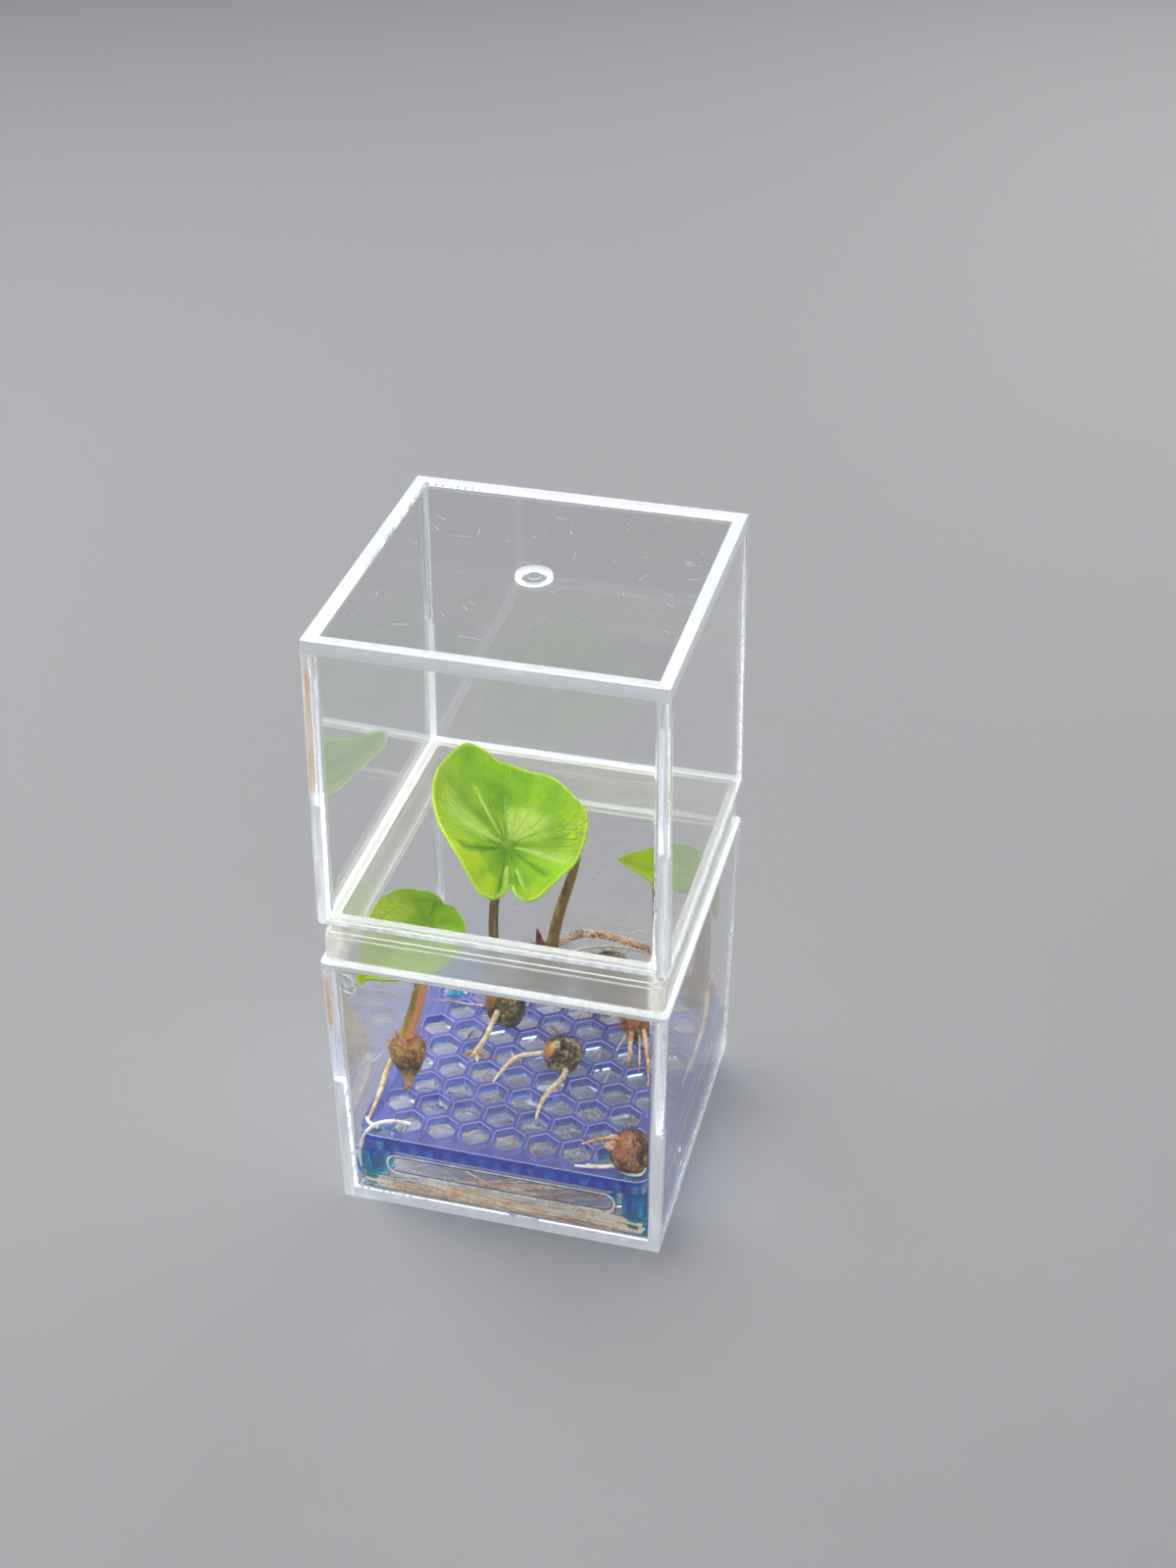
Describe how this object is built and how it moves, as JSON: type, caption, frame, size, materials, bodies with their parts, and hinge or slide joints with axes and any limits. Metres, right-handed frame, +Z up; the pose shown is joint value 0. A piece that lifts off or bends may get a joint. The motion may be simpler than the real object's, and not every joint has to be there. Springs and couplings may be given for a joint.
{
  "type": "clear sprouting box",
  "caption": "Clear sprouting box of stacked cubes mouth to mouth on a soft seal ring, with a blue honeycomb tray on legs that holds sprouted corms over water.",
  "frame": {"origin": "bottom centre of the lower box, on the surface that it stands on", "axes": "+Z up, +X to the right and +Y to the back of the face that the picture shows in front"},
  "size_m": [0.0516, 0.0516, 0.0994],
  "materials": {
    "clear_plastic": "clear moulded plastic, glossy",
    "milky_rubber": "soft milky elastomer, satin",
    "blue_plastic": "translucent violet-blue moulded plastic, glossy",
    "corm": "living corm, hairy brown skin",
    "stalk": "living stalk, satin brown-olive",
    "leaf": "living leaf, waxy bright green",
    "root": "living root, fuzzy off-white",
    "root_mat": "matted straw-coloured roots"
  },
  "bodies": {
    "base": {"lower_box": "clear_plastic"},
    "ring": {"seal_ring": "milky_rubber"},
    "lid": {"upper_box": "clear_plastic"},
    "tray": {"honeycomb_tray": "blue_plastic", "front_left_corm": "corm", "front_left_stalk": "stalk", "front_left_leaf": "leaf", "front_left_roots": "root", "big_leaf_corm": "corm", "big_leaf_stalk": "stalk", "big_leaf": "leaf", "big_leaf_roots": "root", "back_corm": "corm", "back_stalk": "stalk", "back_leaf": "leaf", "back_sheath": "stalk", "right_corm": "corm", "right_stalk": "stalk", "right_leaf": "leaf", "right_roots": "root", "centre_corm": "corm", "centre_roots": "root", "front_right_corm": "corm", "front_right_bud": "stalk", "front_right_roots": "root", "dark_corm": "corm", "red_corm": "corm", "red_corm_roots": "root", "back_wall_root": "root", "tray_edge_roots": "root", "hanging_roots": "root", "root_mat": "root_mat"}
  },
  "joints": [
    {"name": "ring_lift", "type": "slide", "parent": "base", "child": "ring", "axis": [0, 0, 1], "range_m": [0, 0.06]},
    {"name": "lid_lift", "type": "slide", "parent": "ring", "child": "lid", "axis": [0, 0, 1], "range_m": [0, 0.06]},
    {"name": "tray_lift", "type": "slide", "parent": "base", "child": "tray", "axis": [0, 0, 1], "range_m": [0, 0.031]}
  ]
}
